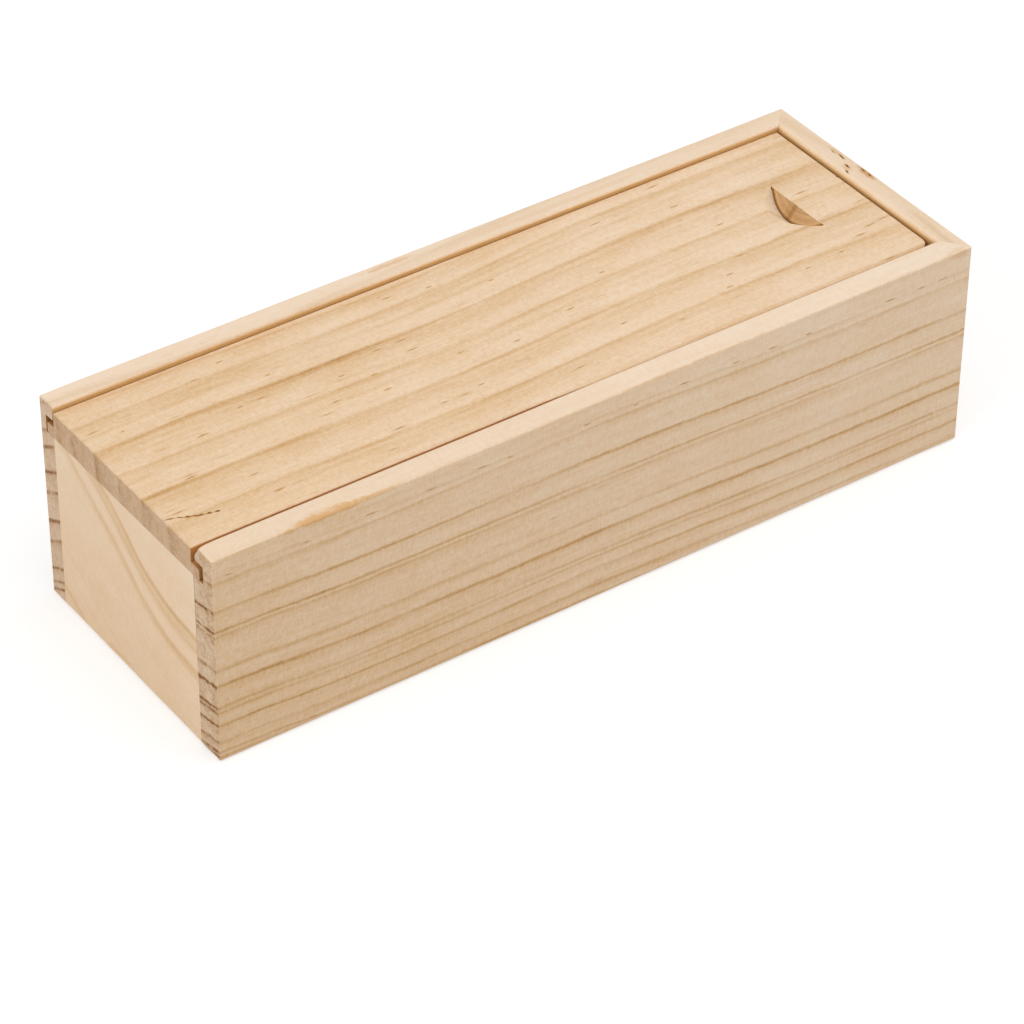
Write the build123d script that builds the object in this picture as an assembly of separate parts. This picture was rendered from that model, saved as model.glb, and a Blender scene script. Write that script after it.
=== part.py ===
from build123d import *
import math
import os

# A long wooden storage box, with a lid that slides out of one end.
# Four boards stand round a base panel. The near, far and high end boards carry a groove
# under a lip, and the low end board stops at the groove's floor, so the lid runs out over it.
#
# Frame, in millimetres: X along the box with the low, open end at -X, Y across it with the
# near side at -Y, Z up. The origin is the middle of the underside.

# ---- Outside sizes ----
BOX_LENGTH = 200.0
BOX_WIDTH = 69.5
BOX_HEIGHT = 54.0

# ---- Stock ----
NEAR_BOARD = 7.4  # the two long boards were planed to unlike thicknesses
FAR_BOARD = 5.5
END_BOARD = 5.2
BASE_THICKNESS = 3.0
LID_THICKNESS = 6.7

# ---- Lid groove ----
LIP_HEIGHT = 3.7  # wood left above the groove
GROOVE_HEIGHT = 4.4
GROOVE_DEPTH = 3.0  # from the lip's nose
NEAR_LIP_SETBACK = 0.8  # how far the near lip's nose stands back from its board's inner face
NEAR_LIP_ROUND = 1.0  # rounding of the rim's inner edge, on each board
FAR_LIP_ROUND = 0.4
END_LIP_ROUND = 1.2
LIP_UNDER_ROUND = 0.5

# ---- Lid ----
TONGUE_THICKNESS = 2.9
TONGUE_ROUND = 0.5
LID_EDGE_ROUND = 0.3
LID_CORNER_ROUND = 2.5  # the near inner corner of the lid's top
FAR_GAP = 0.25  # between the lid's raised part and the lip, on each side
END_GAP = 0.5
NEAR_GAP = 1.1
TONGUE_GAP = 0.4  # between the tongue's edge and the groove's wall
NEAR_TONGUE_GAP = 1.35

# ---- Thumb notch: a flat-bottomed round cutter, sunk at a slant ----
NOTCH_CUTTER_RADIUS = 12.8
NOTCH_SLOPE = 53.5  # degrees, of the flat face that the thumb pushes
NOTCH_DEPTH = 3.4
NOTCH_FROM_END = 15.2  # straight edge of the notch to the end of the lid's raised part
NOTCH_OFFSET = 0.8  # from the lid's centre line, towards the far side

# ---- Sanded edges ----
EDGE_ROUND = 0.3
BOTTOM_BEVEL = 0.7

# ---- Heights and places that follow ----
groove_top = BOX_HEIGHT - LIP_HEIGHT
groove_floor = groove_top - GROOVE_HEIGHT
lid_top = groove_floor + LID_THICKNESS
shoulder = groove_floor + TONGUE_THICKNESS
half_length = BOX_LENGTH / 2
half_width = BOX_WIDTH / 2

inner_near = -half_width + NEAR_BOARD
lip_near = inner_near - NEAR_LIP_SETBACK
inner_far = half_width - FAR_BOARD
inner_high = half_length - END_BOARD
inner_low = -half_length + END_BOARD

lid_near = lip_near + NEAR_GAP
lid_far = inner_far - FAR_GAP
lid_end = inner_high - END_GAP
lid_middle = (lid_near + lid_far) / 2

tongue_near = lip_near - GROOVE_DEPTH + NEAR_TONGUE_GAP
tongue_far = inner_far + GROOVE_DEPTH - TONGUE_GAP
tongue_end = inner_high + GROOVE_DEPTH - TONGUE_GAP


def block(low, high):
    """A box given by its lowest and highest corners."""
    size = [b - a for a, b in zip(low, high)]
    return Pos(*low) * Box(*size, align=(Align.MIN, Align.MIN, Align.MIN))


def sanded_envelope():
    """The whole outside of the box, with its edges eased, that every board is cut to."""
    body = block((-half_length, -half_width, 0), (half_length, half_width, BOX_HEIGHT))
    body = chamfer(body.faces().sort_by(Axis.Z)[0].edges(), BOTTOM_BEVEL)
    flat = body.edges().filter_by(Axis.X) + body.edges().filter_by(Axis.Y)
    upright = [edge for edge in body.edges() if edge not in flat]
    body = fillet(upright, EDGE_ROUND)
    return fillet(body.faces().sort_by(Axis.Z)[-1].edges(), EDGE_ROUND)


def grooved_section(board, lip_round, setback=0.0):
    """Section of a grooved board: X from its outer face inwards, Y up."""
    nose = board - setback
    wall = nose - GROOVE_DEPTH
    corners = [
        (0, 0),
        (board, 0),
        (board, groove_floor),
        (wall, groove_floor),
        (wall, groove_top),
        (nose, groove_top),
        (nose, BOX_HEIGHT),
        (0, BOX_HEIGHT),
    ]
    rounds = [0, 0, 0, 0, 0, LIP_UNDER_ROUND, lip_round, 0]
    outline = FilletPolyline(*corners, radius=rounds, close=True)
    return make_face(outline.edges())


def plan_prism(*corners):
    """A prism as tall as the box on a plan outline."""
    face = make_face(Polyline(*corners, close=True).edges())
    return extrude(face, BOX_HEIGHT, dir=(0, 0, 1))


def side_board(side, board, lip_round, setback=0.0):
    """A long board, square at the low end and mitred at the high end. side is -1 near, +1 far."""
    section = Plane(
        origin=(-half_length, side * half_width, 0), x_dir=(0, -side, 0), z_dir=(-side, 0, 0)
    )
    outline = section * grooved_section(board, lip_round, setback)
    run = extrude(outline, BOX_LENGTH, dir=(1, 0, 0))
    outer = side * half_width
    nose = side * (half_width - board + setback)
    inner = side * (half_width - board)
    corners = [(-half_length, outer), (half_length, outer), (inner_high, nose)]
    if setback:
        corners.append((inner_high, inner))
    corners.append((-half_length, inner))
    return run & plan_prism(*corners) & sanded_envelope()


def high_end_board():
    """The full-height end board, mitred into both sides."""
    section = Plane(origin=(half_length, -half_width, 0), x_dir=(-1, 0, 0), z_dir=(0, 1, 0))
    run = extrude(section * grooved_section(END_BOARD, END_LIP_ROUND), BOX_WIDTH, dir=(0, 1, 0))
    plan = plan_prism(
        (half_length, -half_width),
        (half_length, half_width),
        (inner_high, inner_far),
        (inner_high, lip_near),
    )
    return run & plan & sanded_envelope()


def low_end_board():
    """The end board that the lid passes over, glued between the two sides."""
    board = block((-half_length, inner_near, 0), (inner_low, inner_far, groove_floor))
    return board & sanded_envelope()


def base_panel():
    """The thin base, glued in between the four boards, flush underneath."""
    return block((inner_low, inner_near, 0), (inner_high, inner_far, BASE_THICKNESS))


def thumb_cutter():
    """The slanted round cutter: its flat end makes the face that the thumb pushes."""
    slope = math.radians(NOTCH_SLOPE)
    face_length = NOTCH_DEPTH / math.sin(slope)
    above = NOTCH_CUTTER_RADIUS - face_length
    centre = (
        lid_end - NOTCH_FROM_END + above * math.cos(slope),
        lid_middle + NOTCH_OFFSET,
        lid_top + above * math.sin(slope),
    )
    axis = (-math.sin(slope), 0, math.cos(slope))
    cutter = Cylinder(
        NOTCH_CUTTER_RADIUS, 2 * NOTCH_CUTTER_RADIUS, align=(Align.CENTER, Align.CENTER, Align.MIN)
    )
    return Plane(origin=centre, x_dir=(0, 1, 0), z_dir=axis) * cutter


def sliding_lid():
    """A raised panel with a tongue on its two long edges and its inner end."""
    raised = block((-half_length, lid_near, shoulder), (lid_end, lid_far, lid_top))
    near_corner = raised.edges().filter_by(Axis.Z).group_by(Axis.X)[-1].sort_by(Axis.Y)[0]
    raised = fillet(near_corner, LID_CORNER_ROUND)
    raised = fillet(raised.faces().sort_by(Axis.Z)[-1].edges(), LID_EDGE_ROUND)
    tongue = block((-half_length, tongue_near, groove_floor), (tongue_end, tongue_far, shoulder))
    rims = tongue.edges().filter_by(Axis.X) + tongue.edges().filter_by(Axis.Y).group_by(Axis.X)[-1]
    tongue = fillet(rims, TONGUE_ROUND)
    return raised + tongue - thumb_cutter()


parts = {
    "near_side_board": side_board(-1, NEAR_BOARD, NEAR_LIP_ROUND, NEAR_LIP_SETBACK),
    "far_side_board": side_board(1, FAR_BOARD, FAR_LIP_ROUND),
    "high_end_board": high_end_board(),
    "low_end_board": low_end_board(),
    "base_panel": base_panel(),
    "sliding_lid": sliding_lid(),
}

os.makedirs("parts", exist_ok=True)
for node, shape in parts.items():
    export_step(shape, f"parts/{node}.step")
    print(node, round(shape.volume, 1), "mm3")
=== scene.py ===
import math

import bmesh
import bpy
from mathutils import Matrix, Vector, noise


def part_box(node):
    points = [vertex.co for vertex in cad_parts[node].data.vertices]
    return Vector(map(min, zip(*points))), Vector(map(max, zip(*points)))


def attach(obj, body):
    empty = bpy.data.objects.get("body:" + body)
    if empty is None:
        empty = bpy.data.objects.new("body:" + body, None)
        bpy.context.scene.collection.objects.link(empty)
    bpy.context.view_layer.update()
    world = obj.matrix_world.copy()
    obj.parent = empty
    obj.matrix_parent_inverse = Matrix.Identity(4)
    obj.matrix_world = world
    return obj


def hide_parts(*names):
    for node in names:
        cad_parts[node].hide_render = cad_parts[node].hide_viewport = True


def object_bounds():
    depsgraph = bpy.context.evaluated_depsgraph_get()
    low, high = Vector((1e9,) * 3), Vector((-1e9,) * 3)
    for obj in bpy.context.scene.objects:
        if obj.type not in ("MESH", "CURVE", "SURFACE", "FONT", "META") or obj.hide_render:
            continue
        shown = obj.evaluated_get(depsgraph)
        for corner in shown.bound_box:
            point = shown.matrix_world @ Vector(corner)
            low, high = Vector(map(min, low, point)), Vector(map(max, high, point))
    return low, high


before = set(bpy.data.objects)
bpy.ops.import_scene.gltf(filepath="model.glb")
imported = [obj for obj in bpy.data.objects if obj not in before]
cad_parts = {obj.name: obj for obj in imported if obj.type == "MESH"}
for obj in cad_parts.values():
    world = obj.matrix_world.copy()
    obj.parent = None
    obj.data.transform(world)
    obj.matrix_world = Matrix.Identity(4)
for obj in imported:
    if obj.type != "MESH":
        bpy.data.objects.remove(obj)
cad_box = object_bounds()

# The looks of a long wooden box with a sliding lid: untreated, sanded pine.
# Every board is cut from its own block of growth rings, so the rings on a face run on into the
# end grain beside it. Lengths are in millimetres and are turned into metres by MM. X runs along
# the box, with the low, open end at -X, Y across it and Z up.

MM = 0.001

# ---- The photographer's camera ----
IMAGE_SIDE = 1024  # pixels
SENSOR = 36.0
FOCAL_PIXELS = 4275.3
AZIMUTH = -35.259  # degrees; 0 looks along +Y
ELEVATION = 37.934
ROLL = 0.4795
DISTANCE = 949.9
AIM_ASIDE = -0.902  # what the camera stands to the right of the box's middle
AIM_ABOVE = -20.866  # and above it

# ---- Light ----
WORLD_LIGHT = 0.60
KEY_POWER = 6.1
SIDE_POWER = 5.1
FRONT_POWER = 1.35
FLOOR_GREY = 0.6
FLOOR_GLOW = 0.5

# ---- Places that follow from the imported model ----
low_corner, high_corner = (corner / MM for corner in cad_box)
lid_low, lid_high = (Vector(corner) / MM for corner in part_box("sliding_lid"))
panel_low, panel_high = (Vector(corner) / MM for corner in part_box("low_end_board"))

BOX_END_LOW = low_corner.x
BOX_END_HIGH = high_corner.x
NEAR_FACE = low_corner.y
FAR_FACE = high_corner.y
RIM_TOP = high_corner.z
LID_TOP = lid_high.z
INNER_NEAR = panel_low.y
LIP_NEAR = INNER_NEAR - 0.8
INNER_FAR = panel_high.y
GROOVE_FLOOR = panel_high.z


# ---- The cutter that made the thumb notch: a disc sunk at a slant ----
NOTCH_SLOPE = math.radians(53.5)
NOTCH_RADIUS = 12.8
NOTCH_RING = 2.3  # where a dark ring of the wood crosses the slant
NOTCH_AXIS = (-math.sin(NOTCH_SLOPE), 0.0, math.cos(NOTCH_SLOPE))
NOTCH_ABOVE = NOTCH_RADIUS - 3.4 / math.sin(NOTCH_SLOPE)
NOTCH_CENTRE = (79.1 + NOTCH_ABOVE * math.cos(NOTCH_SLOPE), 1.775, LID_TOP + NOTCH_ABOVE * math.sin(NOTCH_SLOPE))


# =====================================================================================
# Shader nodes
# =====================================================================================
class Graph:
    """Adds shader nodes to a material. Each method returns the new node's output socket."""

    def __init__(self, material):
        material.use_nodes = True
        self.tree = material.node_tree
        self.tree.nodes.clear()

    def put(self, socket, value):
        if isinstance(value, bpy.types.NodeSocket):
            self.tree.links.new(value, socket)
        elif value is not None:
            socket.default_value = value

    def add(self, kind, **settings):
        node = self.tree.nodes.new("ShaderNode" + kind)
        for name, value in settings.items():
            setattr(node, name, value)
        return node

    def math(self, operation, *values, clamp=False):
        node = self.add("Math", operation=operation, use_clamp=clamp)
        for socket, value in zip(node.inputs, values):
            self.put(socket, value)
        return node.outputs[0]

    def total(self, first, *terms):
        """first + value x weight for each (value, weight)."""
        for value, weight in terms:
            first = self.math("MULTIPLY_ADD", value, weight, first)
        return first

    def vector(self, operation, *values):
        node = self.add("VectorMath", operation=operation)
        for socket, value in zip(node.inputs, values):
            self.put(socket, value)
        return node.outputs[1 if operation in ("LENGTH", "DOT_PRODUCT") else 0]

    def scaled(self, vector, factor):
        node = self.add("VectorMath", operation="SCALE")
        self.put(node.inputs[0], vector)
        self.put(node.inputs["Scale"], factor)
        return node.outputs[0]

    def separate(self, vector):
        node = self.add("SeparateXYZ")
        self.put(node.inputs[0], vector)
        return node.outputs[:]

    def combine(self, *values):
        node = self.add("CombineXYZ")
        for socket, value in zip(node.inputs, values):
            self.put(socket, value)
        return node.outputs[0]

    def spread(self, value, low, high, to_low=0.0, to_high=1.0, kind="LINEAR"):
        node = self.add("MapRange", interpolation_type=kind)
        sockets = ("Value", "From Min", "From Max", "To Min", "To Max")
        for name, setting in zip(sockets, (value, low, high, to_low, to_high)):
            self.put(node.inputs[name], setting)
        return node.outputs[0]

    def noise(self, place, size, detail=1.0, roughness=0.5):
        """Noise about 0, mostly within 0.25 of it, whose blobs are about size = (x, y, z) mm."""
        node = self.add("TexNoise")
        self.put(node.inputs["Vector"], self.vector("DIVIDE", place, size))
        self.put(node.inputs["Scale"], 1.0)
        self.put(node.inputs["Detail"], detail)
        self.put(node.inputs["Roughness"], roughness)
        return self.math("SUBTRACT", node.outputs[0], 0.5)

    def cells(self, place, size):
        """Distance to the nearest of scattered points, one for each cell, and its random number."""
        node = self.add("TexVoronoi")
        self.put(node.inputs["Vector"], self.vector("DIVIDE", place, size))
        self.put(node.inputs["Scale"], 1.0)
        return node.outputs["Distance"], self.separate(node.outputs["Color"])[0]

    def mix(self, factor, a, b, blend="MIX"):
        node = self.add("Mix", data_type="RGBA", blend_type=blend)
        self.put(node.inputs[0], factor)
        self.put(node.inputs[6], a)
        self.put(node.inputs[7], b)
        return node.outputs[2]

    def curve(self, value, points):
        """The value of a curve drawn straight from point to point; x and y from 0 to 1."""
        node = self.add("FloatCurve")
        line = node.mapping.curves[0]
        for (x, y), old in zip((points[0], points[-1]), (line.points[0], line.points[-1])):
            old.location = (x, y)
        for x, y in points[1:-1]:
            line.points.new(x, y)
        for point in line.points:
            point.handle_type = "VECTOR"
        node.mapping.update()
        self.put(node.inputs["Value"], value)
        return node.outputs[0]

    def track(self, value, points):
        """The value of a curve through points given in millimetres."""
        places = [x for x, _ in points]
        heights = [y for _, y in points]
        start, length = places[0], places[-1] - places[0]
        low, high = min(heights) - 0.01, max(heights) + 0.01
        shares = [((x - start) / length, (y - low) / (high - low)) for x, y in points]
        return self.spread(self.curve(self.spread(value, start, start + length), shares), 0.0, 1.0, low, high)

    def ramp(self, value, stops):
        node = self.add("ValToRGB")
        row = node.color_ramp.elements
        for element, (place, colour) in zip(row, (stops[0], stops[-1])):
            element.position = place
            element.color = paint(colour)
        for place, colour in stops[1:-1]:
            row.new(place).color = paint(colour)
        self.put(node.inputs[0], value)
        return node.outputs[0]


def paint(hex_code):
    """A colour written as on a screen, as the linear colour that Blender takes."""
    channels = [int(hex_code[i : i + 2], 16) / 255 for i in (1, 3, 5)]
    linear = [c / 12.92 if c <= 0.04045 else ((c + 0.055) / 1.055) ** 2.4 for c in channels]
    return (*linear, 1.0)


# =====================================================================================
# Wood
# =====================================================================================
FACE_PALETTE = [
    (0.0, "#F9E4CB"),
    (0.2, "#F1D4B3"),
    (0.45, "#E2BE93"),
    (0.7, "#CFA36D"),
    (1.0, "#A8733C"),
]
END_PALETTE = [
    (0.0, "#E6CDB3"),
    (0.2, "#D9BDA0"),
    (0.45, "#BF9A75"),
    (0.7, "#98693F"),
    (1.0, "#784925"),
]
EARLY_WOOD = 0.2  # tone of the palest wood, before its fibres vary it
CANAL = "#B57B3E"  # the short dark dashes of resin canals
CANAL_HALO = "#D3A673"
RUBBED_AND_GAP_SHADE = "#D8AC6A"  # wood rubbed by the cutter, with painted shade of the gaps it lines
GAP_SHADE = "#B9823F"  # painted shade deep in the gaps
# pale wood of faces that look up: sanding, and painted top light
SANDED_AND_TOP_LIGHT = "#F7E6D3"

CURVE_STEPS = 255
END_GRAIN_FROM = 0.62  # how squarely a face must look along the grain to show end grain
END_GRAIN_FULL = 0.80


class Board:
    """How one board is cut from its block of rings, and how its surface is finished.

    axes: which of X, Y and Z runs along the grain, across the rings, and through the board.
    face, inward: where the seen face lies on the third axis, and which way the wood lies from it.
    rings: (where a ring ends across the board, how wide its dark line fades to each side, how far
    its haze reaches below, how dark the line is, how dark the haze). waves: pairs of tracks, the rise of the rings along the board and how
    much of it counts across the board. tilt: how far the rings rise for each mm inwards.
    """

    def __init__(self, axes, face, inward, rings, waves=(), tilt=0.0, **finish):
        self.axes = axes
        self.face = face
        self.inward = inward
        self.rings = rings
        self.waves = waves
        self.tilt = tilt
        self.fibre = finish.get("fibre", 1.0)  # strength of the fibres and streaks
        self.canals = finish.get("canals", 0.86)  # higher is fewer
        self.end_tint = finish.get("end_tint", "#FFFFFF")
        self.end_contrast = finish.get("end_contrast", 1.3)
        self.face_tint = finish.get("face_tint", "#FFFFFF")
        # how much paler faces that look up are drawn: sanding, and painted top light
        self.sanded_and_top_light = finish.get("sanded_and_top_light", 0.0)
        self.scratched = finish.get("scratched", 0.1)  # marks of sanding across the grain
        self.patchy = finish.get("patchy", 1.0)
        self.marks = finish.get("marks", ())
        self.rubbed_and_gap_shade = finish.get("rubbed_and_gap_shade")  # lowest and highest corner of the zone rubbed by the cutter and given painted gap shade, the heights between which its colour sets in, and that colour
        # the heights between which its colour sets in, and that colour
        self.notch = finish.get("notch")  # the thumb notch's cutter
        self.shade_drift = finish.get("shade_drift", ())  # tracks by which a face is drawn darker across it: painted shading of light that falls unevenly
        self.seed = finish.get("seed", 0.0)


LID = Board(
    "XYZ",
    LID_TOP,
    -1,
    [
        (-27.6, 0.92, 7.0, 0.04, 0.15),
        (-17.9, 0.92, 8.0, 0.07, 0.18),
        (-7.5, 0.92, 8.5, 0.09, 0.2),
        (-1.3, 1.03, 2.2, 0.05, 0.04),
        (2.2, 0.92, 4.0, 0.05, 0.17),
        (11.8, 0.92, 8.0, 0.09, 0.22),
        (17.4, 0.8, 2.0, 0.05, 0.03),
        (21.6, 0.92, 6.5, 0.05, 0.18),
        (28.1, 0.8, 5.0, 0.07, 0.18),
        (33.5, 0.8, 5.0, 0.07, 0.15),
    ],
    waves=[
        (
            [(-100, -0.1), (-85, 0.0), (-70, 0.0), (-50, -0.5), (-20, -0.9), (-5, -0.5), (5, 0.3),
             (20, 1.15), (35, 1.6), (50, 1.7), (70, 1.8), (90, 1.5), (100, 1.4)],
            [(-35, 0.8), (-7.5, 0.85), (12, 1.0), (22, 1.2), (35, 1.3)],
        ),
        (
            [(-100, 0.0), (0, 0.0), (20, 0.3), (40, 0.8), (60, 1.2), (100, 1.3)],
            [(-35, 0.0), (12, 0.0), (22, 0.9), (35, 1.0)],
        ),
    ],
    tilt=-0.08,
    scratched=0.22,
    end_tint="#F4ECE0",
    end_contrast=0.8,
    marks=[
        ((-74.4, -20.6, LID_TOP), (1.9, 0.6, 1.0), "#C08A4A", 0.8),
        ((-47.5, -22.4, LID_TOP), (1.8, 0.45, 1.0), "#C99A62", 0.7),
        ((-77.6, 4.4, LID_TOP), (1.5, 0.4, 1.0), "#C99A62", 0.6),
        ((-87.5, -6.6, LID_TOP), (1.2, 0.5, 1.0), "#C08A4A", 0.6),
        ((31, -19, LID_TOP), (1.6, 0.5, 1.0), "#C99A62", 0.6),
    ],
    fibre=1.15,
    canals=0.80,
    # the lid's sides below its top edge: rubbed wood, with painted shade of the gap
    rubbed_and_gap_shade=((-200, -40, 40), (200, 40, LID_TOP - 0.1), (LID_TOP - 0.1, LID_TOP - 0.4), "#F5A548"),
    notch=(NOTCH_CENTRE, NOTCH_AXIS, NOTCH_RADIUS, (70, -12, 45), (82, 15, LID_TOP + 1)),
    shade_drift=[("X", [(-100, 0.10), (-60, 0.08), (0, 0.04), (60, 0.0), (88, 0.03), (100, 0.06)])],
    seed=3.0,
)

NEAR = Board(
    "XZY",
    NEAR_FACE,
    1,
    [
        (1.6, 0.5, 1.2, 0.19, 0.11),
        (2.7, 0.5, 1.0, 0.31, 0.11),
        (5.5, 0.5, 2.4, 0.17, 0.13),
        (9.9, 0.55, 2.6, 0.32, 0.14),
        (13.5, 0.5, 1.4, 0.14, 0.1),
        (14.9, 0.6, 1.2, 0.2, 0.1),
        (20.6, 0.7, 3.4, 0.32, 0.16),
        (24.9, 0.8, 1.4, 0.12, 0.1),
        (33.9, 0.6, 3.0, 0.14, 0.1),
        (35.2, 0.45, 1.0, 0.39, 0.06),
        (40.5, 0.45, 3.0, 0.36, 0.11),
        (47.9, 0.6, 3.0, 0.12, 0.1),
        (49.8, 0.6, 1.6, 0.05, 0.06),
    ],
    waves=[
        (
            [(-100, 0.1), (-95, 0.0), (-88, -0.2), (-80, -0.8), (-70, -1.3), (-50, -1.6), (-30, -1.7),
             (-5, -1.7), (10, -2.0), (30, -2.6), (45, -3.1), (60, -3.4), (94, -3.7), (100, -3.7)],
            [(0, 1.0), (10, 1.08), (20, 1.18), (33, 1.0), (40, 0.9), (47, 0.5), (54, 0.4)],
        ),
        (
            [(-100, 0.0), (-60, 0.0), (-35, 0.25), (-15, 0.75), (-2, 1.0), (15, 0.75), (35, 0.1),
             (50, 0.0), (100, 0.0)],
            [(0, 0.0), (8, 0.3), (12, 0.3), (16, 0.0), (35, 0.0), (40, 0.55), (47, 0.75), (54, 0.8)],
        ),
    ],
    tilt=-0.18,
    sanded_and_top_light=0.35,
    canals=0.93,
    # the lip's nose and the groove: rubbed wood, with painted shade of the gap
    rubbed_and_gap_shade=((-200, NEAR_FACE + 2.0, 40), (200, 0, RIM_TOP - 0.5), (RIM_TOP - 0.5, LID_TOP + 0.3), "#E8A350"),
    scratched=0.22,
    end_tint="#FBF9F2",
    end_contrast=1.85,
    marks=[
        ((-73, NEAR_FACE, RIM_TOP), (13, 2.0, 1.5), "#D9A45F", 0.75),
        ((-58, NEAR_FACE, RIM_TOP), (7, 0.9, 0.9), "#DDB07A", 0.6),
        ((20, NEAR_FACE, RIM_TOP), (30, 0.5, 0.6), "#DDB584", 0.5),
        ((97, NEAR_FACE, RIM_TOP - 0.6), (4.5, 2.4, 1.2), "#D9A060", 0.4),
    ],
    shade_drift=[
        ("X", [(-100, 0.12), (-60, 0.08), (0, 0.02), (60, -0.03), (100, -0.03)]),
        ("Z", [(0, 0.05), (25, 0.03), (45, -0.01), (54, -0.01)]),
    ],
    seed=7.0,
)

FAR = Board(
    "XZY",
    FAR_FACE,
    -1,
    [
        (1.2, 0.6, 1.4, 0.36, 0.16),
        (3.2, 0.6, 1.4, 0.36, 0.16),
        (7.0, 0.6, 2.0, 0.36, 0.2),
        (14.6, 0.7, 2.6, 0.34, 0.18),
        (20.2, 0.7, 2.4, 0.40, 0.2),
        (28.0, 0.7, 2.8, 0.24, 0.16),
        (33.6, 0.7, 2.6, 0.44, 0.2),
        (40.4, 0.7, 2.6, 0.26, 0.16),
        (45.0, 0.7, 2.0, 0.20, 0.12),
        (52.2, 0.9, 2.4, 0.12, 0.10),
    ],
    waves=[
        (
            [(-100, 0.0), (-70, -0.7), (-40, -1.0), (0, 0.4), (40, 1.3), (100, 1.0)],
            [(0, 0.8), (54, 1.2)],
        )
    ],
    tilt=0.52,
    sanded_and_top_light=0.35,
    canals=0.93,
    rubbed_and_gap_shade=((-200, 0, 40), (200, FAR_FACE - 2.0, RIM_TOP - 0.25), (RIM_TOP - 0.5, RIM_TOP - 0.8), RUBBED_AND_GAP_SHADE),
    end_tint="#FEFCFA",
    end_contrast=1.15,
    marks=[
        ((-12, 33.2, RIM_TOP), (9, 0.9, 0.7), "#DDAA72", 0.5),
        ((30, 31.5, RIM_TOP), (40, 1.2, 0.7), "#ECC9A4", 0.5),
    ],
    seed=11.0,
)

HIGH_END = Board(
    "YZX",
    BOX_END_HIGH,
    -1,
    [
        (3.1, 0.6, 1.8, 0.34, 0.16),
        (8.8, 0.6, 2.4, 0.38, 0.18),
        (15.5, 0.7, 2.6, 0.40, 0.2),
        (20.3, 0.6, 2.2, 0.24, 0.14),
        (27.8, 0.7, 3.0, 0.36, 0.2),
        (36.0, 0.6, 3.0, 0.34, 0.16),
        (43.5, 0.7, 2.6, 0.26, 0.14),
        (52.8, 0.9, 2.4, 0.14, 0.12),
    ],
    waves=[([(-35, 0.0), (-12, 0.9), (8, 1.3), (35, 0.2)], [(0, 0.8), (54, 1.1)])],
    tilt=0.3,
    sanded_and_top_light=0.3,
    canals=0.93,
    # the inner lip under the rim: rubbed wood, with painted shade of the gap
    rubbed_and_gap_shade=((0, -40, 40), (BOX_END_HIGH - 2.0, 40, RIM_TOP - 0.2), (RIM_TOP - 0.4, RIM_TOP - 1.2), RUBBED_AND_GAP_SHADE),
    marks=[
        ((99.2, 2.0, RIM_TOP), (1.3, 4.0, 1.3), "#C58F52", 0.75),
        ((98.9, 12.6, RIM_TOP), (0.7, 3.2, 0.6), "#D6A870", 0.6),
        ((96.8, 6.2, RIM_TOP), (1.6, 2.4, 0.8), "#D9AE78", 0.6),
    ],
    seed=17.0,
)

LOW_END = Board(
    "YZX",
    BOX_END_LOW,
    1,
    [
        (-23.2, 1.3, 3.0, 0.06, 0.15),
        (-11.0, 1.2, 1.4, 0.03, 0.03),
        (19.0, 1.8, 3.4, 0.05, 0.22),
        (25.0, 1.7, 2.4, 0.04, 0.14),
        (28.4, 1.2, 4.6, 0.06, 0.36),
        (36.0, 2.0, 2.0, 0.0, 0.03),
    ],
    waves=[
        (
            [(-35, 0.0), (-27, 0.0), (-20, 0.7), (-15, 1.7), (-10, 3.8), (-5, 6.3), (0, 10.4), (5, 14.1),
             (10, 17.4), (15, 20.4), (20, 23.6), (24, 26.4), (29, 29.0), (35, 32.0)],
            [(0, 1.0), (54, 1.0)],
        )
    ],
    tilt=0.2,
    fibre=0.42,
    patchy=0.6,
    canals=2.0,
    scratched=0.16,
    marks=[((BOX_END_LOW, 7, 1.8), (1, 10, 0.9), "#E0B987", 0.5)],
    shade_drift=[("Z", [(0, 0.06), (20, 0.04), (46, -0.04)]), ("Y", [(-35, -0.03), (0, 0.02), (35, 0.0)])],
    seed=23.0,
)

BASE = Board(
    "XYZ",
    0.0,
    1,
    [
        (-24.0, 0.8, 6.0, 0.14, 0.24),
        (-14.0, 0.8, 6.0, 0.16, 0.26),
        (-3.0, 0.8, 7.0, 0.14, 0.24),
        (9.0, 0.8, 7.0, 0.18, 0.28),
        (18.0, 0.8, 5.0, 0.12, 0.22),
        (26.0, 0.8, 5.0, 0.14, 0.24),
    ],
    waves=[([(-100, 0.0), (-40, 1.2), (20, -0.6), (100, 1.6)], [(-35, 1.0), (35, 1.0)])],
    tilt=0.4,
    seed=29.0,
)


def ring_tone(place, rings):
    """How dark the rings make the wood at a place across them."""
    tone = 0.0
    for end, line, halo, dark, haze in rings:
        t = place - end
        tone += dark * max(1 - abs(t) / line, 0.0)
        share = 1 + t / halo if t < 0 else 1 - t / line
        tone += haze * max(share, 0.0) ** 1.5
    return min(tone, 1.0)


def zone(g, xyz, low, high, soft=0.25):
    """1 inside a box, 0 outside it."""
    inside = 1.0
    for axis, a, b in zip("XYZ", low, high):
        above = g.spread(xyz[axis], a - soft, a + soft)
        below = g.spread(xyz[axis], b - soft, b + soft, 1.0, 0.0)
        inside = g.math("MULTIPLY", g.math("MULTIPLY", above, below), inside)
    return inside


def stain(g, here, ragged, centre, reach):
    """1 in the middle of a ragged blot, 0 past its reach."""
    away = g.vector("LENGTH", g.vector("DIVIDE", g.vector("SUBTRACT", here, centre), reach))
    return g.spread(g.math("ADD", away, ragged), 1.0, 0.35, kind="SMOOTHSTEP")


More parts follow.
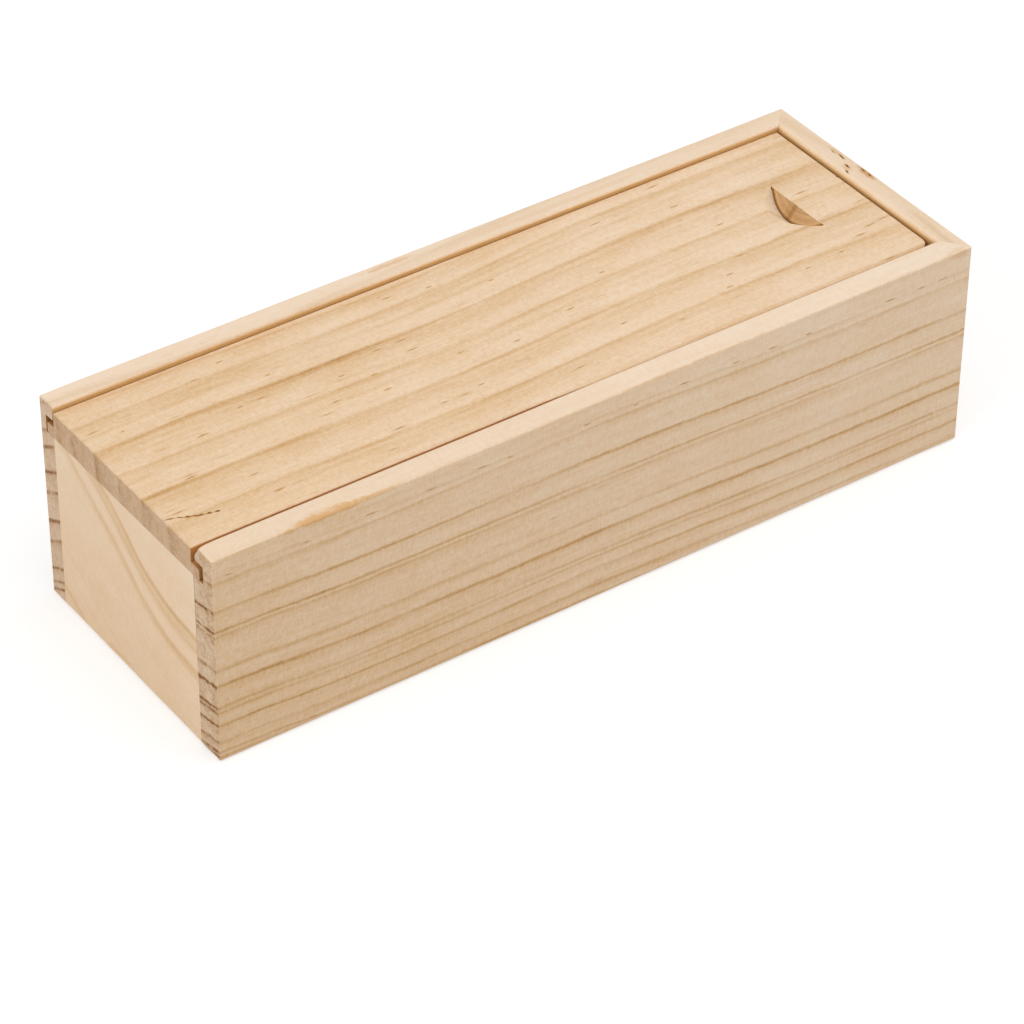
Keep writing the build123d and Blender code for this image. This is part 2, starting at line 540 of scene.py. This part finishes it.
def notch_face(g, here, endwise, colour, centre, axis, radius, low, high):
    """Fine arcs left by the cutter on the slant it cut across the grain, darker at its rim: scorched wood, and
    painted shade in the corner where the cutter's wall meets the slant.
    """
    xyz = dict(zip("XYZ", g.separate(here)))
    aside = g.vector("SUBTRACT", here, centre)
    along = g.vector("DOT_PRODUCT", aside, axis)
    away = g.vector("LENGTH", g.vector("SUBTRACT", aside, g.scaled(axis, along)))
    where = g.math("MULTIPLY", zone(g, xyz, low, high), endwise)
    where = g.math("MULTIPLY", where, g.spread(g.math("ABSOLUTE", along), 0.4, 0.2))
    arcs = g.noise(g.combine(away, 0.5, 0.5), (0.32, 1, 1), 1.0)
    colour = g.mix(g.math("MULTIPLY", where, 0.6), colour, paint("#C29255"))
    colour = g.scaled(colour, g.math("MULTIPLY_ADD", g.math("MULTIPLY", arcs, where), 1.3, 1.0))
    ring = g.math("ABSOLUTE", g.math("SUBTRACT", xyz["Y"], NOTCH_RING))
    ring = g.math("MULTIPLY", g.spread(ring, 1.0, 0.3), where)
    colour = g.mix(g.math("MULTIPLY", ring, 0.55), colour, paint("#99642D"))
    # painted shade with scorching: a dark line along the inner corner at the cutter's rim
    rim = g.math("MULTIPLY", g.spread(away, radius - 0.75, radius - 0.3), where)
    return g.mix(g.math("MULTIPLY", rim, 0.85), colour, paint("#7E4A1C"))


def wood(name, board):
    material = bpy.data.materials.new(name)
    g = Graph(material)
    here = g.scaled(g.add("TexCoord").outputs["Object"], 1 / MM)
    xyz = dict(zip("XYZ", g.separate(here)))
    along, across, through = (xyz[axis] for axis in board.axes)
    depth = g.math("MULTIPLY_ADD", through, board.inward, -board.inward * board.face)

    # Where this point lies across the rings
    block = g.vector("ADD", g.combine(along, across, through), (board.seed * 31.0,) * 3)
    ring = g.math("MULTIPLY_ADD", depth, -board.tilt, across)
    for rise, share in board.waves:
        ring = g.math("SUBTRACT", ring, g.math("MULTIPLY", g.track(along, rise), g.track(across, share)))
    grain = g.vector("ADD", g.combine(along, ring, depth), (board.seed * 17.0,) * 3)
    ring = g.total(ring, (g.noise(grain, (48, 10, 10)), 0.8), (g.noise(grain, (5, 1.6, 1.6)), 0.5))
    ring = g.total(ring, (g.noise(block, (0.8, 0.5, 0.5)), 0.5))

    # How dark the ring is there
    first, last = board.rings[0][0] - 8.0, board.rings[-1][0] + 4.0
    samples = [first + i * (last - first) / CURVE_STEPS for i in range(CURVE_STEPS + 1)]
    tone = g.track(ring, [(s, ring_tone(s, board.rings)) for s in samples])
    patches = g.total(g.noise(grain, (20, 1.3, 1.3)), (g.noise(grain, (55, 5, 5)), 1.0))
    tone = g.math("MULTIPLY", tone, g.math("MULTIPLY_ADD", patches, 1.8 * board.patchy, 1.0))

    # Streaks, fibres and fuzz
    mottle = g.noise(block, (16, 9, 9), 2.0)
    streak = g.noise(grain, (38, 1.5, 1.5), 2.0)
    strand = g.noise(grain, (7, 0.5, 0.5), 1.0)
    fibre = g.noise(grain, (1.6, 0.26, 0.26), 1.0)
    fuzz = g.noise(block, (0.42, 0.36, 0.36), 1.0)
    peel = g.noise(block, (1.3, 1.1, 1.1), 1.0)
    sanding = g.noise(block, (0.42, 1.8, 1.8), 1.0)
    f = board.fibre
    tone = g.total(
        g.math("ADD", tone, EARLY_WOOD),
        (mottle, 0.22),
        (streak, 0.20 * f),
        (strand, 0.14 * f),
        (fibre, 0.26 * f),
        (fuzz, 0.26),
        (peel, 0.14 * f),
        (sanding, board.scratched),
    )
    tone = g.math("MAXIMUM", g.math("MINIMUM", tone, 1.0), 0.0)

    # Faces along the grain
    face_tone = tone
    # Painted shading: the tone drawn darker across each face where less light falls
    for axis, points in board.shade_drift:
        face_tone = g.math("ADD", face_tone, g.track(xyz[axis], points))
    face = g.ramp(face_tone, FACE_PALETTE)
    face = g.mix(1.0, face, paint(board.face_tint), "MULTIPLY")
    near, chance = g.cells(grain, (9.0, 1.5, 1.5))
    kept = g.spread(chance, board.canals, board.canals + 0.12)
    halo = g.math("MULTIPLY", g.spread(near, 0.34, 0.10), kept)
    core = g.math("MULTIPLY", g.spread(near, 0.16, 0.09), kept)
    face = g.mix(g.math("MULTIPLY", halo, 0.6), face, paint(CANAL_HALO))
    face = g.mix(g.math("MULTIPLY", core, 0.55), face, paint(CANAL))

    # Faces across the grain
    pores = g.noise(block, (0.5, 0.42, 0.42), 1.0)
    coarse = g.noise(block, (2.0, 1.2, 1.2), 1.0)
    end_tone = g.math("SUBTRACT", tone, EARLY_WOOD)
    end_tone = g.math("MULTIPLY_ADD", end_tone, board.end_contrast, EARLY_WOOD)
    end_tone = g.total(end_tone, (pores, 0.26), (coarse, 0.22))
    end = g.ramp(g.math("MAXIMUM", end_tone, 0.0), END_PALETTE)
    end = g.mix(1.0, end, paint(board.end_tint), "MULTIPLY")

    normal = dict(zip("XYZ", g.separate(g.add("NewGeometry").outputs["True Normal"])))
    endwise = g.math("ABSOLUTE", normal[board.axes[0]])
    endwise = g.spread(endwise, END_GRAIN_FROM, END_GRAIN_FULL, kind="SMOOTHSTEP")
    colour = g.mix(endwise, face, end)

    # Faces that look up drawn paler: partly sanding, partly painted top light
    upward = g.spread(normal["Z"], 0.6, 0.95, kind="SMOOTHSTEP")
    if board.sanded_and_top_light:
        colour = g.mix(g.math("MULTIPLY", upward, board.sanded_and_top_light), colour, paint(SANDED_AND_TOP_LIGHT))
    if board.notch:
        colour = notch_face(g, here, endwise, colour, *board.notch)
    if board.marks:
        ragged = g.total(g.noise(block, (5, 2, 2), 2.0), (g.noise(block, (1.2, 0.6, 0.6)), 0.6))
        ragged = g.math("MULTIPLY", ragged, 1.2)
        for centre, reach, tint, strength in board.marks:
            blot = g.math("MULTIPLY", stain(g, here, ragged, centre, reach), strength)
            colour = g.mix(blot, colour, paint(tint))
    # Zone rubbed by the cutter: rubbed wood colour, and painted shade of the gaps that grows darker with depth
    if board.rubbed_and_gap_shade:
        low, high, sets_in, tint = board.rubbed_and_gap_shade
        sunk = g.spread(xyz["Z"], *sets_in, 0.0, 0.92)
        # painted shade: darker the deeper it lies below the lid's top
        deep = g.spread(xyz["Z"], LID_TOP + 0.8, LID_TOP - 2.0)
        rubbed = g.math("MULTIPLY", zone(g, xyz, low, high), g.math("SUBTRACT", 1.0, endwise))
        if board.axes[0] == "X":
            sideways = g.spread(g.math("ABSOLUTE", normal["Z"]), 0.95, 0.6)
            in_groove = g.spread(xyz["Z"], LID_TOP - 1.8, LID_TOP - 2.2)
            rubbed = g.math("MULTIPLY", rubbed, g.math("MAXIMUM", sideways, in_groove))
            off_middle = g.spread(g.math("ABSOLUTE", xyz["Y"]), INNER_FAR - 5, INNER_FAR - 3)
            rubbed = g.math("MULTIPLY", rubbed, off_middle)
        # rubbed wood colour, turned towards painted gap shade with depth
        cut = g.mix(deep, paint(tint), paint(GAP_SHADE))
        colour = g.mix(g.math("MULTIPLY", rubbed, sunk), colour, cut)

    shade = g.total(1.0, (fuzz, 0.10), (fibre, 0.08), (mottle, 0.05))
    colour = g.scaled(colour, shade)

    bump = g.add("Bump")
    bump.inputs["Strength"].default_value = 0.5
    bump.inputs["Distance"].default_value = 0.10 * MM
    height = g.total(fibre, (fuzz, 1.0), (strand, 0.6), (tone, -0.4))
    g.put(bump.inputs["Height"], height)

    surface = g.add("BsdfPrincipled")
    g.put(surface.inputs["Base Color"], colour)
    g.put(surface.inputs["Roughness"], g.spread(tone, 0.0, 1.0, 0.70, 0.54))
    surface.inputs["Specular IOR Level"].default_value = 0.22
    g.put(surface.inputs["Normal"], bump.outputs[0])
    g.put(g.add("OutputMaterial").inputs[0], surface.outputs[0])
    return material


def torn_wood(name, dark, middle, light):
    """Broken fibres in the cracks, chips and pits."""
    material = bpy.data.materials.new(name)
    g = Graph(material)
    here = g.scaled(g.add("TexCoord").outputs["Object"], 1 / MM)
    fray = g.noise(here, (0.9, 0.3, 0.3), 2.0)
    colour = g.ramp(
        g.math("MULTIPLY_ADD", fray, 1.6, 0.5), [(0.0, dark), (0.5, middle), (1.0, light)]
    )
    bump = g.add("Bump")
    bump.inputs["Strength"].default_value = 0.6
    bump.inputs["Distance"].default_value = 0.1 * MM
    g.put(bump.inputs["Height"], fray)
    surface = g.add("BsdfPrincipled")
    g.put(surface.inputs["Base Color"], colour)
    surface.inputs["Roughness"].default_value = 0.85
    surface.inputs["Specular IOR Level"].default_value = 0.15
    g.put(surface.inputs["Normal"], bump.outputs[0])
    g.put(g.add("OutputMaterial").inputs[0], surface.outputs[0])
    return material


# =====================================================================================
# Shapes
# =====================================================================================
MERGE = 1e-6  # metres
FLAT = math.radians(0.5)  # faces that meet at less than this are one face
EDGE_TURN = math.radians(8)  # a vertex where faces turn more than this is on an edge
SHARP = math.radians(32)
SLICE = 2.0
EDGE_WEAR = 0.10  # how far the edges wander inwards
BOTTOM = 0.05  # what lies lower stays at its height, so that the box stands flat

TORN_SLOT = 1
CANAL_SLOT = 2
MITRE = 6.0  # within this of a mitred corner the edges stay true, so that the joint stays shut


def off_mitre(place):
    """1 away from the mitred high end, 0 at it."""
    return min(max((BOX_END_HIGH - MITRE - place.x) / 3, 0.0), 1.0)


def working_copy(node):
    """The node's own mesh, with its flat faces whole."""
    mesh = bmesh.new()
    mesh.from_mesh(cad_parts[node].data)
    bmesh.ops.remove_doubles(mesh, verts=mesh.verts, dist=MERGE)
    bmesh.ops.dissolve_limit(mesh, angle_limit=FLAT, verts=mesh.verts, edges=mesh.edges)
    bmesh.ops.recalc_face_normals(mesh, faces=mesh.faces)
    return mesh


def slice_across(mesh, axis, places):
    """Cut every face at planes across an axis, so that long edges can wander."""
    across = Vector((0, 0, 0))
    across[axis] = 1
    for place in places:
        everything = mesh.verts[:] + mesh.edges[:] + mesh.faces[:]
        bmesh.ops.bisect_plane(
            mesh, geom=everything, dist=MERGE / 10, plane_co=across * place * MM, plane_no=across
        )


def steps(low, high, step):
    count = int((high - low) / step)
    return [low + (i + 0.5) * (high - low) / count for i in range(count)]


def wear_edges(mesh, amount, seed, share=lambda place: 1.0):
    """Let every edge wander inwards a little, as sanding leaves it. share is less at the joints."""
    mesh.normal_update()
    moves = []
    for vertex in mesh.verts:
        normals = [face.normal for face in vertex.link_faces]
        if max(normals[0].angle(other, 0.0) for other in normals) < EDGE_TURN:
            continue
        place = vertex.co / MM
        slow = noise.noise(Vector((place.x / 14, place.y / 14, place.z / 14 + seed)))
        quick = noise.noise(Vector((place.x / 3.5, place.y / 3.5, place.z / 3.5 - seed)))
        inwards = -amount * share(place) * max(0.0, 0.45 + 0.6 * slow + 0.35 * quick)
        move = vertex.normal * inwards * MM
        if place.z < BOTTOM:
            move.z = 0.0
        moves.append((vertex, move))
    low, high = [Vector([pick(v.co[i] for v in mesh.verts) for i in range(3)]) for pick in (min, max)]
    for vertex, move in moves:
        vertex.co = [min(max(c, a), b) for c, a, b in zip(vertex.co + move, low, high)]


def gouge(path, width, depth, up, lift=0.3, ragged=0.0):
    """A closed V-shaped cutter along points on a face, pointed at both ends.

    width and depth are at its middle; up is the face's normal. ragged lets its width vary.
    """
    up = Vector(up)
    points = [Vector(p) for p in path]
    rows = []
    for i, point in enumerate(points):
        ahead = points[min(i + 1, len(points) - 1)] - points[max(i - 1, 0)]
        side = up.cross(ahead).normalized()
        share = i / (len(points) - 1)
        taper = max(math.sin(math.pi * share), 0.06) ** 0.6
        half, deep = width / 2 * taper, depth * taper
        half *= 1 + ragged * noise.noise(point * 1.7)
        flare = half * (1 + lift / deep)
        rows.append((point + side * flare + up * lift, point - side * flare + up * lift, point - up * deep))
    return rows


def cutter_mesh(gouges, slot):
    """One mesh of all the cutters, whose faces take a material slot."""
    mesh = bmesh.new()
    for rows in gouges:
        rings = [[mesh.verts.new(corner * MM) for corner in row] for row in rows]
        for one, other in zip(rings, rings[1:]):
            for i in range(3):
                j = (i + 1) % 3
                mesh.faces.new((one[i], one[j], other[j], other[i]))
        mesh.faces.new(rings[0][::-1])
        mesh.faces.new(rings[-1])
    bmesh.ops.recalc_face_normals(mesh, faces=mesh.faces)
    for face in mesh.faces:
        face.material_index = slot
    data = bpy.data.meshes.new("cutters")
    mesh.to_mesh(data)
    mesh.free()
    return data


def applied(piece):
    """The piece's mesh with its modifiers worked in."""
    ready = piece.evaluated_get(bpy.context.evaluated_depsgraph_get())
    data = bpy.data.meshes.new_from_object(ready)
    piece.modifiers.clear()
    piece.data = data
    return data


def carve(piece, gouges, slot):
    """Cut gouges out of a piece. The gouges of one call mustn't touch each other."""
    cutter = bpy.data.objects.new("cutter", cutter_mesh(gouges, slot))
    bpy.context.scene.collection.objects.link(cutter)
    cut = piece.modifiers.new("carve", "BOOLEAN")
    cut.operation = "DIFFERENCE"
    cut.solver = "EXACT"
    cut.object = cutter
    cut.material_mode = "INDEX"
    applied(piece)
    bpy.data.objects.remove(cutter)


def finish_normals(piece):
    piece.data.shade_smooth()
    piece.data.set_sharp_from_angle(angle=SHARP)
    weighted = piece.modifiers.new("normals", "WEIGHTED_NORMAL")
    weighted.keep_sharp = True
    applied(piece)


def make_piece(name, node, body, slot, board, mesh, *cuts):
    """Stand a finished mesh in for its node. cuts: (gouges, the material slot they show)."""
    data = bpy.data.meshes.new(name)
    mesh.to_mesh(data)
    mesh.free()
    data.materials.append(wood(name + "_wood", board))
    data.materials.append(TORN_WOOD)
    data.materials.append(CANAL_WOOD)
    piece = bpy.data.objects.new(name, data)
    bpy.context.scene.collection.objects.link(piece)
    for gouges, torn in cuts:
        carve(piece, gouges, torn)
    finish_normals(piece)
    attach(piece, body)
    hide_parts(node)
    return piece


def dash(centre, length, grain, width=0.30, depth=0.16, up=(0, 0, 1), lean=0.0):
    """A short groove along the grain, left by an open resin canal."""
    along = Vector((0, 0, 0))
    along["XYZ".index(grain)] = 1
    aside = Vector(up).cross(along)
    centre = Vector(centre)
    path = [centre + (along + aside * lean) * length * share for share in (-0.5, -0.2, 0.1, 0.5)]
    return gouge(path, width, depth, up)


# ---- Near side board ----
LIP_ROUND = 1.0  # as the board was made
LIP_WORN = 0.3  # how much rounder the lip's nose has worn over its low half
LIP_END_WORN = 1.2  # and at the very end
LIP_END_DROP = 1.1  # rounding of the lip's top over its end
NEAR_DASH_ROW = 49.2
NEAR_DASHES = [-96, -77, -61, -46, -33, -26, -6, 7, 20, 34, 44, 54, 77, 86, 92]
NEAR_OTHER_DASHES = [(-75, 22.2, 5.5), (-14, 27.5, 3.0), (39, 40.9, 3.0), (37, 25.0, 8.0), (-25, 26.0, 3.0)]


def quarter(share):
    """How far a quarter circle of radius 1 has fallen at a share of the way to its end."""
    return 1 - math.sqrt(max(1 - min(max(share, 0.0), 1.0) ** 2, 0.0))


def wear_lip(mesh):
    """Round the near lip's nose over more, most of all at the low end, and drop its top there."""
    lip_bottom = GROOVE_FLOOR + 4.4
    lip_height = RIM_TOP - lip_bottom
    for vertex in mesh.verts:
        place = vertex.co / MM
        if place.z < lip_bottom + 0.01:
            continue
        from_end = place.x - BOX_END_LOW
        low_half = min(max((5.0 - place.x) / 25, 0.0), 1.0)
        radius = LIP_ROUND + LIP_WORN * low_half + LIP_END_WORN * math.exp(-from_end / 1.3)
        was = LIP_ROUND * quarter((place.z - RIM_TOP) / LIP_ROUND + 1)
        back = radius * quarter((place.z - RIM_TOP) / radius + 1) - was
        share = min(max((place.y - LIP_NEAR) / 3.0 + 1.0, 0.0), 1.0)
        vertex.co.y -= back * share * MM
        drop = LIP_END_DROP * (0.45 + 0.55 * share)
        fallen = drop * quarter(1 - from_end / drop) if from_end < drop else 0.0
        vertex.co.z -= fallen * (place.z - lip_bottom) / lip_height * MM


def near_side():
    mesh = working_copy("near_side_board")
    places = steps(BOX_END_LOW + 3, BOX_END_HIGH, SLICE)
    slice_across(mesh, 0, [BOX_END_LOW + d for d in (0.15, 0.4, 0.8, 1.2, 1.7, 2.3)] + places)
    slice_across(mesh, 1, [LIP_NEAR - d for d in (0.1, 0.35, 0.7, 1.1, 1.6, 2.2, 2.9, 3.8, 5.0)])
    slice_across(mesh, 2, [RIM_TOP - d for d in (0.2, 0.5, 0.9, 1.4, 1.9, 2.5)])
    wear_lip(mesh)
    wear_edges(mesh, EDGE_WEAR * 1.5, 1.3, off_mitre)
    face = NEAR_FACE
    gouges = []
    for i, x in enumerate(NEAR_DASHES):
        sway = noise.noise(Vector((x, 0.3, 0.7)))
        fall = 1.0 * max(0.0, (x - 30) / 60)
        centre = (x, face, NEAR_DASH_ROW - fall + 0.5 * sway)
        gouges.append(dash(centre, 2.6 + 2.4 * sway, "X", 0.42, 0.02, (0, -1, 0), -0.03))
    for x, z, length in NEAR_OTHER_DASHES:
        gouges.append(dash((x, face, z), length, "X", 0.40, 0.02, (0, -1, 0), -0.03))
    make_piece("near_side", "near_side_board", "box", "side_wood", NEAR, mesh, (gouges, CANAL_SLOT))


def far_side():
    mesh = working_copy("far_side_board")
    slice_across(mesh, 0, steps(BOX_END_LOW, BOX_END_HIGH, SLICE))
    wear_edges(mesh, EDGE_WEAR, 4.1, off_mitre)
    make_piece("far_side", "far_side_board", "box", "side_wood", FAR, mesh)


# ---- High end board ----
RIM_SPECKS = [
    # middle, length across the box, width, depth
    ((98.75, 10.5), 2.4, 0.55, 0.45),
    ((97.4, 6.8), 2.0, 0.60, 0.60),
    ((95.9, 5.0), 1.4, 0.55, 0.50),
    ((99.35, 3.4), 1.8, 0.50, 0.45),
    ((99.3, 1.0), 1.6, 0.45, 0.40),
    ((98.4, 13.4), 1.6, 0.22, 0.20),
]


def high_end():
    mesh = working_copy("high_end_board")
    slice_across(mesh, 1, steps(NEAR_FACE, FAR_FACE, SLICE))
    wear_edges(mesh, EDGE_WEAR * 1.4, 9.2, lambda place: min(max((27 - abs(place.y)) / 3, 0.0), 1.0))
    gouges = []
    for (x, y), length, width, depth in RIM_SPECKS:
        path = [(x + 0.12 * math.sin(5 * s), y + length * s, RIM_TOP) for s in (-0.5, -0.2, 0.15, 0.5)]
        gouges.append(gouge(path, width, depth, (0, 0, 1)))
    make_piece("high_end", "high_end_board", "box", "side_wood", HIGH_END, mesh, (gouges, TORN_SLOT))


def low_end():
    mesh = working_copy("low_end_board")
    slice_across(mesh, 1, steps(INNER_NEAR, INNER_FAR, SLICE))
    wear_edges(mesh, EDGE_WEAR * 0.8, 12.7)
    make_piece("low_end", "low_end_board", "box", "end_wood", LOW_END, mesh)


def base():
    mesh = working_copy("base_panel")
    slice_across(mesh, 0, steps(BOX_END_LOW + 5, BOX_END_HIGH - 5, SLICE * 2))
    wear_edges(mesh, EDGE_WEAR * 0.5, 15.5)
    make_piece("base", "base_panel", "box", "base_wood", BASE, mesh)


# ---- Lid ----
LID_CRACK = [(-100.6, -15.4), (-99.4, -15.9), (-97.6, -16.3), (-96.2, -17.2), (-94.4, -17.9), (-92.9, -18.5),
             (-91.4, -18.9), (-90.0, -19.3), (-88.9, -19.5)]
LID_CRACK_HOLES = [(-92.4, -18.65, 1.3), (-90.7, -19.05, 1.0), (-89.0, -19.5, 1.3), (-95.2, -17.55, 1.0)]
LID_DASHES = [
    (-91, 15.0), (-78, 4.3), (-55, 14.8), (-48, -1.5), (-36, 2.0), (-36.5, -4.0), (-29, -14.8), (-19, -13.9),
    (-18, 24.3), (-16, -1.8), (-76, -13.2), (-8, 22.6), (13, -1.9), (27, 5.6), (47, -15.0), (60, 5.9),
    (-42, 5.6), (-87.5, -6.7), (-61, 24.8), (-3.5, -5.1), (19.5, -12.9), (50, -11.1), (66, -19.0), (88, -13.4),
    (-30.5, 9.2), (5.0, 17.0), (37.0, 22.0), (56.0, 17.5), (-24.0, 5.1), (76.0, -18.2), (-66.0, 8.4),
]
NOTCH_TEARS = [[(78.5, -6.1), (78.95, -6.9), (79.35, -7.5)], [(78.2, 9.6), (78.75, 10.7), (79.15, 11.7)]]
NEAR_EDGE_EASE = 0.42  # how far the lid's near edge stands back over its low half
def off_notch(place):
    """1 away from the thumb notch, little at it, so that its edges stay crisp."""
    return 0.15 if 68 < place.x < 82 and abs(place.y - 1.8) < 12 else 1.0



def lid():
    mesh = working_copy("sliding_lid")
    places = steps(BOX_END_LOW, lid_high.x, SLICE)
    slice_across(mesh, 0, [x for x in places if not 67 < x < 84])
    for vertex in mesh.verts:
        place = vertex.co / MM
        if place.z > LID_TOP - 3.9 and lid_low.y + 2.5 < place.y < lid_low.y + 6.5:
            share = min(max((2.0 - place.x) / 14, 0.0), 1.0)
            vertex.co.y += NEAR_EDGE_EASE * share * MM
    wear_edges(mesh, EDGE_WEAR, 20.3, off_notch)
    top = (0, 0, 1)
    crack = []
    for (x, y), (next_x, next_y) in zip(LID_CRACK, LID_CRACK[1:]):
        for share in (0.0, 0.33, 0.67):
            wander = 0.3 * noise.noise(Vector((2.3 * (x + share), 0.4, 0.0)))
            crack.append((x + share * (next_x - x), y + share * (next_y - y) + wander, LID_TOP))
    holes = []
    for x, y, size in LID_CRACK_HOLES:
        path = [(x + size * share, y - 0.2 * size * share, LID_TOP) for share in (-0.5, -0.15, 0.2, 0.5)]
        holes.append(gouge(path, 0.7, 0.55, top))
    canals = []
    for x, y in LID_DASHES:
        sway = noise.noise(Vector((x, y, 0.7)))
        canals.append(dash((x, y, LID_TOP), 2.4 + 2.4 * sway, "X", 0.46, 0.02, top, 0.02))
    chip = [(94.35, 5.5, LID_TOP), (94.2, 6.3, LID_TOP), (94.35, 7.1, LID_TOP)]
    tears = [gouge([(x, y, LID_TOP) for x, y in path], 0.7, 0.8, top) for path in NOTCH_TEARS]
    cuts = [
        ([gouge(crack, 0.36, 0.22, top, ragged=1.6), gouge(chip, 0.7, 0.5, top), *tears], TORN_SLOT),
        (holes, TORN_SLOT),
        (canals, CANAL_SLOT),
    ]
    make_piece("lid", "sliding_lid", "lid", "lid_wood", LID, mesh, *cuts)


# =====================================================================================
# Camera, lights and floor
# =====================================================================================
def add_camera():
    azimuth, elevation, roll = (math.radians(a) for a in (AZIMUTH, ELEVATION, ROLL))
    back = Vector(
        (
            math.sin(azimuth) * math.cos(elevation),
            -math.cos(azimuth) * math.cos(elevation),
            math.sin(elevation),
        )
    )
    level_right = (-back).cross(Vector((0, 0, 1))).normalized()
    level_up = level_right.cross(-back)
    right = math.cos(roll) * level_right + math.sin(roll) * level_up
    up = math.cos(roll) * level_up - math.sin(roll) * level_right
    low, high = cad_box
    middle = (low + high) / 2
    place = middle + (DISTANCE * back + AIM_ASIDE * right + AIM_ABOVE * up) * MM
    camera = bpy.data.objects.new("camera", bpy.data.cameras.new("camera"))
    camera.data.sensor_width = SENSOR
    camera.data.lens = FOCAL_PIXELS * SENSOR / IMAGE_SIDE
    camera.data.clip_start = 0.05
    camera.matrix_world = Matrix.Translation(place) @ Matrix((right, up, back)).transposed().to_4x4()
    bpy.context.scene.collection.objects.link(camera)
    bpy.context.scene.camera = camera


def add_lamp(name, place, size, power):
    """A square lamp that looks at the box."""
    lamp = bpy.data.objects.new(name, bpy.data.lights.new(name, "AREA"))
    lamp.data.shape = "SQUARE"
    lamp.data.size = size
    lamp.data.energy = power
    lamp.location = place
    lamp.rotation_mode = "QUATERNION"
    lamp.rotation_quaternion = (-Vector(place)).to_track_quat("-Z", "Y")
    bpy.context.scene.collection.objects.link(lamp)


def seen_rays(g):
    """1 for what the camera sees, straight or in a reflection."""
    path = g.add("LightPath").outputs
    mirrored = g.math("MAXIMUM", path["Is Glossy Ray"], path["Is Transmission Ray"])
    return g.math("MAXIMUM", path["Is Camera Ray"], mirrored)


def add_world():
    world = bpy.data.worlds.new("studio")
    bpy.context.scene.world = world
    g = Graph(world)
    background = g.add("Background")
    background.inputs["Color"].default_value = (1, 1, 1, 1)
    g.put(background.inputs["Strength"], g.spread(seen_rays(g), 0.0, 1.0, WORLD_LIGHT, 1.0))
    g.put(g.add("OutputWorld").inputs[0], background.outputs[0])


def add_floor():
    mesh = bpy.data.meshes.new("floor")
    half = 3.0
    corners = [(-half, -half, 0), (half, -half, 0), (half, half, 0), (-half, half, 0)]
    mesh.from_pydata(corners, [], [(0, 1, 2, 3)])
    floor = bpy.data.objects.new("floor", mesh)
    floor.location.z = cad_box[0].z
    bpy.context.scene.collection.objects.link(floor)
    material = bpy.data.materials.new("floor")
    mesh.materials.append(material)
    g = Graph(material)
    diffuse = g.add("BsdfDiffuse")
    diffuse.inputs["Color"].default_value = (FLOOR_GREY, FLOOR_GREY, FLOOR_GREY, 1)
    glow = g.add("Emission")
    g.put(glow.inputs["Strength"], g.math("MULTIPLY", seen_rays(g), FLOOR_GLOW))
    both = g.add("AddShader")
    g.put(both.inputs[0], diffuse.outputs[0])
    g.put(both.inputs[1], glow.outputs[0])
    g.put(g.add("OutputMaterial").inputs[0], both.outputs[0])


TORN_WOOD = torn_wood("torn_wood", "#835222", "#AA763C", "#CC9C62")
CANAL_WOOD = torn_wood("canal_wood", "#BE8C54", "#CDA06A", "#DCB684")

near_side()
far_side()
high_end()
low_end()
base()
lid()

add_camera()
add_world()
add_floor()
add_lamp("key", (0.15, -0.45, 1.35), 1.2, KEY_POWER)
add_lamp("side", (-1.2, -0.2, 0.6), 0.9, SIDE_POWER)
add_lamp("front", (1.0, -1.0, 0.5), 0.9, FRONT_POWER)
bpy.context.scene.view_settings.view_transform = "Standard"
